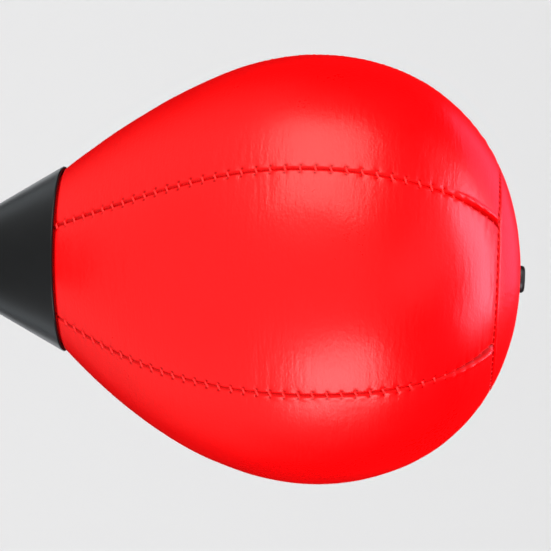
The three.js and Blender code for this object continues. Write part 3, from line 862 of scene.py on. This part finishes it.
def valve():
    """The rubber inflation valve: a low button with a needle hole, standing square on the crown."""
    outline = rounded([
        (0.55, -7.5, 0), (1.9, -7.5, 0.3), (1.9, -1.6, 0.2), (4.1, -1.6, 0.3), (4.1, 0.8, 0.6),
        (3.3, 1.3, 0.5), (1.7, 1.3, 0.3), (1.3, 0.95, 0.2), (0.75, 0.95, 0.15), (0.55, 0.6, 0.1),
    ])
    piece = revolve("valve_button", outline, VALVE_LOOK, None, "rubber", 72)
    centre = on_ball(profile.pole, 0.0, 0.0)
    turn_x, turn_y = CROWN_TURN
    turned = Matrix.Rotation(-turn_y, 4, "X") @ Matrix.Rotation(turn_x, 4, "Y")
    piece.matrix_world = Matrix.Translation(Vector(centre * MM)) @ turned
    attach(piece, "head")
    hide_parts("air_valve")


def inner_bladder():
    """The rubber bladder that fills the cover. It follows the cover's shape from inside."""
    rows, columns, clearance = 60, 96, 2.3
    lengths = np.linspace(8, profile.pole - 3.0, rows)
    along, azimuth = np.meshgrid(lengths, circle(columns), indexing="ij")
    vertices = on_ball(along, azimuth, np.full(along.shape, -clearance)).reshape(-1, 3)
    piece = make_mesh(
        "inner_bladder", vertices, tube_faces(rows, columns), BLADDER_LOOK, "head", "bladder_rubber"
    )
    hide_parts("bladder")


valve()
inner_bladder()

# ---- Cone ----


def cone():
    """The plastic cone under the ball, with the collar that takes the spring."""
    floor_z, floor_top_z = 184.0, 188.0
    outline = rounded([
        (3.4, floor_z, 0), (11.4, floor_z, 0.4),
        (11.4, COLLAR_BOTTOM_Z, 0.3), (14.2, COLLAR_BOTTOM_Z, 0.6),
        (14.7, 180.6, 0.3), (15.6, 181.0, 0.3), (15.6, 182.6, 0.3), (14.9, 183.1, 0.4),
        (RIM_RADIUS, RIM_Z - 0.45, 0.25), (RIM_RADIUS - 0.35, RIM_Z, 0.25),
        (RIM_RADIUS - 1.2, RIM_Z, 0.3), (15.6, floor_top_z, 1.0), (3.4, floor_top_z, 0),
    ])
    piece = revolve("cone_shell", outline, CONE_LOOK, "head", "black_plastic", 192)
    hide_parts("cone_cup")


cone()

# ---- Spring ----

WIRE_RADIUS = 1.4
COIL_RADIUS = 9.6
COIL_PITCH = 4.0
COIL_STEPS = 48
COIL_BOTTOM_Z, COIL_TOP_Z = SPRING_LOW[2] + WIRE_RADIUS, SPRING_HIGH[2] - WIRE_RADIUS


def spring_half(name, low, high):
    """Half of the coil spring."""
    heights = np.linspace(low, high, round((high - low) / COIL_PITCH * COIL_STEPS))
    angles = 2 * math.pi * (heights - COIL_BOTTOM_Z) / COIL_PITCH
    vertices, faces = tube(polar(COIL_RADIUS, angles, heights), WIRE_RADIUS, 14)
    return make_mesh(name, vertices, faces, SPRING_LOOK, None, "spring_steel")


def spring():
    """The coil in two halves that meet in its middle."""
    seat_top, collar_bottom = SEAT_HIGH[2], COLLAR_BOTTOM_Z
    middle = (seat_top + collar_bottom) / 2
    lower = spring_half("spring_lower_half", COIL_BOTTOM_Z, middle)
    upper = spring_half("spring_upper_half", middle, COIL_TOP_Z)
    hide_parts("spring")
    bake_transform(lower)
    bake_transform(upper)


spring()

# ---- Base ----

SHELF_Z = 22.0
# cutting the screw recesses leaves slivers narrower than this
SLIVER_WIDTH = 0.002


def seat_cap():
    """The cap over the lock ring, with a socket for the spring and three screw recesses."""
    outline = rounded([
        (2.8, 42.0, 0), (13.0, 42.0, 0.3), (13.0, SEAT_LOW[2], 0.2), (33.2, SEAT_LOW[2], 0.5),
        (34.0, 43.2, 0.9), (24.0, 45.0, 4.0), (16.6, 47.6, 3.4), (14.7, 53.5, 3.0),
        (14.6, 57.2, 0.2), (15.2, 57.5, 0.2), (15.2, 59.2, 0.4), (14.4, SEAT_HIGH[2], 0.4),
        (11.9, SEAT_HIGH[2], 0.4), (11.4, 59.3, 0.3), (11.4, 46.0, 0.3), (2.8, 46.0, 0),
    ], 7)
    piece = revolve("spring_seat_cap", outline, BASE_LOOK, None, "black_plastic", 180)
    cut_screw_recesses(piece)
    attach(piece, "base")
    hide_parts("spring_seat")


def cut_screw_recesses(piece):
    """Cuts the stepped holes of the three cap screws."""
    sides = 48
    parts = []
    for index in range(3):
        x, y = box_middle(f"seat_screw_{index + 1}")
        rings = [
            polar(radius, circle(sides), height) + (x, y, 0)
            for radius, height in ((1.8, 39.0), (1.8, 43.4), (3.3, 43.4), (3.3, 55.0))
        ]
        parts.append((np.vstack(rings), tube_faces(len(rings), sides)))
    cutter = add_object("recess_cutter", mesh_data("recess_cutter", *join_parts(parts)))
    modifier = piece.modifiers.new("recess", "BOOLEAN")
    modifier.operation = "DIFFERENCE"
    modifier.object = cutter
    modifier.solver = "MANIFOLD"
    bpy.context.view_layer.objects.active = piece
    with bpy.context.temp_override(object=piece, active_object=piece):
        bpy.ops.object.modifier_apply(modifier=modifier.name)
    bpy.data.objects.remove(cutter)
    cut = bmesh.new()
    cut.from_mesh(piece.data)
    bmesh.ops.remove_doubles(cut, verts=cut.verts, dist=SLIVER_WIDTH * MM)
    cut.to_mesh(piece.data)
    cut.free()


def seat_screw(index):
    """A zinc cap screw with a rounded head and a hexagon socket."""
    node = f"seat_screw_{index + 1}"
    low, high = box_mm(node)
    top = high[2] - low[2]
    across_flats, socket_depth, head_height = 2.5, 1.6, 2.2

    def socket(radius, height, azimuths):
        if radius > across_flats / 2 or height < top - socket_depth:
            return np.full(azimuths.shape, radius)
        from_flat = (azimuths + math.pi / 6) % (math.pi / 3) - math.pi / 6
        return radius / np.cos(from_flat)

    outline = rounded([
        (0.02, 0.2, 0), (1.3, 0.2, 0.2), (1.5, 0.6, 0.1), (1.5, top - head_height, 0.1),
        (2.9, top - head_height, 0.15), (2.9, top, 0.45), (1.3, top, 0.05),
        (1.25, top - 0.1, 0.02), (1.25, top - 1.3, 0), (0.02, top - 1.4, 0),
    ], 6)
    name = f"seat_cap_screw_{index + 1}"
    piece = revolve(name, outline, STEEL_LOOK, None, "steel", 72, socket)
    piece.matrix_world = Matrix.Translation(Vector((*box_middle(node), low[2])) * MM)
    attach(piece, "base")
    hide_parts(node)


def ring_grip():
    """The lock ring: a fluted grip that leans in slightly, with a chamfer above and below."""
    flutes, flute_depth, plain_width = 12, 1.1, 6
    inner, outer = 21.8, RING_HIGH[0]
    bottom, top = RING_LOW[2], RING_HIGH[2]

    def fluted(radius, height, azimuths):
        if radius < inner + plain_width:
            return np.full(azimuths.shape, radius)
        wave = np.abs(np.sin(flutes * azimuths / 2)) ** 3
        return radius - flute_depth * wave

    outline = rounded([
        (inner, bottom, 0.3), (outer - 1.6, bottom, 0.5), (outer, bottom + 2.0, 1.2),
        (outer, top - 2.6, 1.4), (outer - 2.2, top, 0.9), (inner, top, 0.3),
    ], 7)
    piece = revolve("lock_ring_grip", outline, GREY_LOOK, "lock_ring", "grey_plastic", 288, fluted)
    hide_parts("lock_ring")


def raised(plan, layers):
    """A closed solid over a plan outline. Each layer is how far its edge is pulled in, and z."""
    plan = np.array(plan, float)
    inward = plan.mean(0) - plan
    inward /= np.linalg.norm(inward, axis=1)[:, None]
    rings = [np.column_stack([plan + inward * inset, np.full(len(plan), z)]) for inset, z in layers]
    return np.vstack(rings), tube_faces(len(layers), len(plan))


def raised_marks():
    """The ring's pointer, and the marks on the housing for its open and locked places."""

    def layers(face, depth, inset):
        high = face + 0.35
        return (0.0, face - depth), (0.0, high - inset), (inset, high)

    pointer_plan = [(-2.0, -34.4), (0.0, -36.9), (2.0, -34.4)]
    pointer = raised(pointer_plan, layers(RING_HIGH[2], 0.3, 0.3))
    make_mesh("lock_ring_pointer", *pointer, GREY_LOOK, "lock_ring", "grey_plastic")

    mark_radius = 40.3
    marks = []
    for azimuth, length, width in ((-90, 2.6, 0.9), (0, 2.6, 2.6)):
        turn = math.radians(azimuth)
        out = np.array([math.cos(turn), math.sin(turn)])
        side = np.array([-out[1], out[0]])
        plan = [
            mark_radius * out + out * length / 2 * math.cos(a) + side * width / 2 * math.sin(a)
            for a in circle(24)
        ]
        marks.append(raised(plan, layers(SHELF_Z, 0.4, 0.25)))
    make_mesh("base_marks", *join_parts(marks), BASE_LOOK, "base", "black_plastic")


def housing_bell():
    """The bell-shaped housing, with a shallow groove round its shelf."""
    top, base, shelf, roof = HOUSING_HIGH[2], HOUSING_LOW[2], SHELF_Z, 19.4
    outline = rounded([
        (46.0, base, 0.3), (52.0, base, 0.6), (HOUSING_HIGH[0], 7.3, 1.2),
        (HOUSING_HIGH[0], 20.6, 8.0), (44.6, shelf, 3.0), (43.6, shelf, 0.2), (43.2, 21.5, 0.2),
        (41.9, 21.5, 0.2), (41.5, shelf, 0.2), (21.5, shelf, 0.3), (21.5, top, 0.5),
        (15.5, top, 0.4), (15.5, roof, 0.3), (48.0, roof, 4.0), (51.4, 14.0, 3.0),
        (51.4, 7.7, 0.3), (46.0, 7.7, 0.3),
    ], 9)
    piece = revolve("base_bell", outline, BASE_LOOK, "base", "black_plastic", 192)
    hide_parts("base_housing")


def cup_disc():
    """The rubber suction cup, with a bead round its sealing lip and shallow moulded rings."""
    edge = CUP_HIGH[0]
    outline = rounded([
        (1.0, 3.6, 0), (20.0, 3.6, 3.0), (36.0, 2.4, 4.0), (50.0, 0.0, 2.0), (edge, 0.0, 0.25),
        (edge, 1.5, 0.5), (58.9, 1.9, 0.3), (58.3, 1.65, 0.15), (57.7, 2.0, 0.15),
        (56.6, 2.75, 0.2), (56.1, 2.65, 0.1), (55.6, 3.1, 0.15), (53.0, 5.0, 0.8),
        (18.0, 5.0, 0.8), (18.0, 16.4, 0.5), (8.4, 16.4, 0.3), (8.4, 15.2, 0.2),
        (14.9, 15.2, 0.2), (14.9, 8.7, 0.3), (1.0, 8.7, 0),
    ], 6)
    piece = revolve("suction_cup_rubber", outline, RUBBER_LOOK, "base", "rubber", 240)
    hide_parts("suction_cup")


def cup_tab():
    """The tab that lifts the cup's lip, with three raised finger ribs."""
    half_width, start, end, corner = 7.0, 57.5, CUP_HIGH[1], 3.0
    rib_radius, rib_height = 0.34, 1.25
    right = [(half_width, start)] + [
        (half_width - corner + corner * math.cos(a), end - corner + corner * math.sin(a))
        for a in np.radians(np.linspace(0, 90, 9))
    ]
    plan = right + [(-x, y) for x, y in right[::-1]]
    parts = [raised(plan, ((0.4, 0.35), (0.0, 0.62), (0.0, 1.05), (0.4, 1.35)))]
    for place, reach in ((60.9, 5.2), (62.2, 5.2), (63.5, 4.2)):
        line = [(x, place, rib_height) for x in np.linspace(-reach, reach, 9)]
        parts.append(tube(line, rib_radius, 10, THREAD_TAPER))
    make_mesh("suction_cup_tab", *join_parts(parts), RUBBER_LOOK, "base", "rubber")


seat_cap()
for screw_index in range(3):
    seat_screw(screw_index)
ring_grip()
housing_bell()
raised_marks()
cup_disc()
cup_tab()

# ---- Carried-over CAD nodes ----

GREY_NODES = ("lift_post", "lower_spring_plug", "upper_spring_plug")
for node, carried in frame["nodes"].items():
    for material_slot in carried.material_slots:
        material_slot.link = "OBJECT"
        material_slot.material = GREY_LOOK if node in GREY_NODES else STEEL_LOOK

# ---- Stage, lights and camera ----

BALL_CENTRE = Vector((0.003, 0.0, WIDEST_Z * MM))
FLOOR_HALF = 60000.0
BACKDROP_STRENGTH = 0.62
WARM_WHITE = (1.0, 0.98, 0.96, 1)
CAMERA_RAISE = math.radians(5.4)
CAMERA_DISTANCE = 1200.0
CAMERA_TARGET = (5.1, 0.0, WIDEST_Z - 12.1)
PIXELS_PER_MM = 3.30
FRAME_PIXELS = 551
SENSOR = 36.0


def floor():
    """A pale floor, hidden from reflections, bounced light and shadows."""
    n = new_material("pale_floor")
    n.set(Base_Color=(0.62, 0.62, 0.625, 1), Roughness=0.9)
    corners = [(x * FLOOR_HALF, y * FLOOR_HALF, 0) for x, y in ((-1, -1), (1, -1), (1, 1), (-1, 1))]
    data = mesh_data("floor", corners, [(0, 1, 2, 3)])
    data.materials.append(n.owner)
    plane = add_object("floor", data)
    plane.visible_glossy = False
    plane.visible_diffuse = False
    plane.visible_shadow = False


def world():
    """A pale backdrop, and a dim surround for reflections that is brightest low and in front."""
    n = Nodes(bpy.data.worlds.new("studio"), "Background")
    bpy.context.scene.world = n.owner
    direction = n.add("ShaderNodeTexCoord").outputs["Generated"]
    low_front = (0.0, -0.75, -0.66)
    facing = n.add("ShaderNodeVectorMath", {"operation": "DOT_PRODUCT"}, i0=direction, i1=low_front)
    glow = n.ramp(facing.outputs["Value"], -0.35, 0.55, 0.006, 0.44)
    camera_ray = n.add("ShaderNodeLightPath").outputs["Is Camera Ray"]
    strength = n.add("ShaderNodeMix", i0=camera_ray, i2=glow, i3=BACKDROP_STRENGTH).outputs[0]
    n.set(Color=WARM_WHITE, Strength=strength)


def fill_light(name, direction, strength):
    """A very soft light from one side that doesn't show in reflections."""
    light = bpy.data.lights.new(name, "SUN")
    light.energy = strength
    light.angle = math.radians(120)
    light.cycles.use_multiple_importance_sampling = False
    lamp = add_object(name, light)
    lamp.rotation_euler = (-Vector(direction)).to_track_quat("-Z", "Y").to_euler()
    lamp.visible_glossy = False


def lit_by(name, is_lit):
    """A collection of the pieces that a light falls on."""
    pieces = bpy.data.collections.new(name)
    for piece in bpy.context.scene.objects:
        if piece.type == "MESH" and piece.name != "floor" and is_lit(piece.name):
            pieces.objects.link(piece)
    return pieces


def on_ball_cover(name):
    return name.startswith(("leather", "gore_seam", "crown_seam"))


def softbox(name, direction, distance, size, radiance, colour, pieces):
    """A rectangular light that faces the ball, in metres, given how bright its face is."""
    light = bpy.data.lights.new(name, "AREA")
    light.shape = "RECTANGLE"
    light.size, light.size_y = size
    light.energy = radiance * math.pi * size[0] * size[1]
    light.color = colour
    lamp = add_object(name, light)
    lamp.location = BALL_CENTRE + Vector(direction).normalized() * distance
    lamp.rotation_euler = (BALL_CENTRE - lamp.location).to_track_quat("-Z", "Y").to_euler()
    lamp.visible_camera = False
    lamp.light_linking.receiver_collection = pieces


def lights():
    every = lit_by("object_pieces", lambda name: True)
    cone_only = lit_by("cone_pieces", lambda name: name == "cone_shell")
    ball = lit_by("ball_pieces", on_ball_cover)
    stand = lit_by("stand_pieces", lambda name: not on_ball_cover(name))
    overhead = (-0.11, 0.32, 0.94), 1.0, (0.8, 0.45), 3.4
    softbox("side_left", (-0.83, -0.56, 0.06), 1.0, (1.0, 0.75), 2.7, (1.0, 0.97, 0.92), every)
    softbox("side_right", (0.86, -0.50, 0.18), 1.0, (0.6, 0.62), 4.2, (1.0, 0.97, 1.0), every)
    softbox("overhead", *overhead, (1.0, 0.82, 1.12), ball)
    softbox("overhead_stand", *overhead, (1, 1, 1), stand)
    softbox("above_front", (-0.25, -0.22, 0.94), 1.0, (1.6, 0.5), 0.33, (1.0, 0.96, 1.06), every)
    softbox("behind_above", (-0.22, 0.80, 0.60), 1.0, (0.6, 0.5), 0.42, (1.0, 0.68, 1.30), ball)
    # two mirrored pairs that shape the cone
    for kind, direction, size, radiance, colour in (
        ("edge", (0.36, 0.88, -0.30), (0.3, 0.4), 1.3, (0.97, 1.0, 1.03)),
        ("side", (0.60, 0.34, -0.72), (0.3, 0.6), 1.0, (0.92, 1.0, 1.06)),
    ):
        x, y, z = direction
        for hand, place in (("left", (-x, y, z)), ("right", (x, y, z))):
            softbox(f"cone_{kind}_{hand}", place, 0.8, size, radiance, colour, cone_only)
    fill_light("fill_above", (0.0, 0.0, 1.0), 2.8)
    fill_light("fill_front", (0.0, -1.0, 0.25), 1.7)
    fill_light("fill_back", (0.0, 1.0, 0.25), 1.8)
    fill_light("fill_below", (0.0, -0.4, -0.9), 0.9)


def camera():
    """Looks along +Y from slightly above, rolled so that +Z points to the right of the picture."""
    away = np.array([0.0, -math.cos(CAMERA_RAISE), math.sin(CAMERA_RAISE)])
    up = np.array([-1.0, 0.0, 0.0])
    place = (np.array(CAMERA_TARGET) + away * CAMERA_DISTANCE) * MM
    data = bpy.data.cameras.new("camera")
    data.sensor_width = SENSOR
    data.lens = PIXELS_PER_MM * CAMERA_DISTANCE * SENSOR / FRAME_PIXELS
    data.clip_start, data.clip_end = 0.05, 200
    item = add_object("camera", data)
    axes = Matrix(np.column_stack([np.cross(-away, up), up, away]).tolist())
    item.matrix_world = Matrix.Translation(place.tolist()) @ axes.to_4x4()
    bpy.context.scene.camera = item


floor()
world()
lights()
camera()
bpy.context.scene.view_settings.view_transform = "Standard"
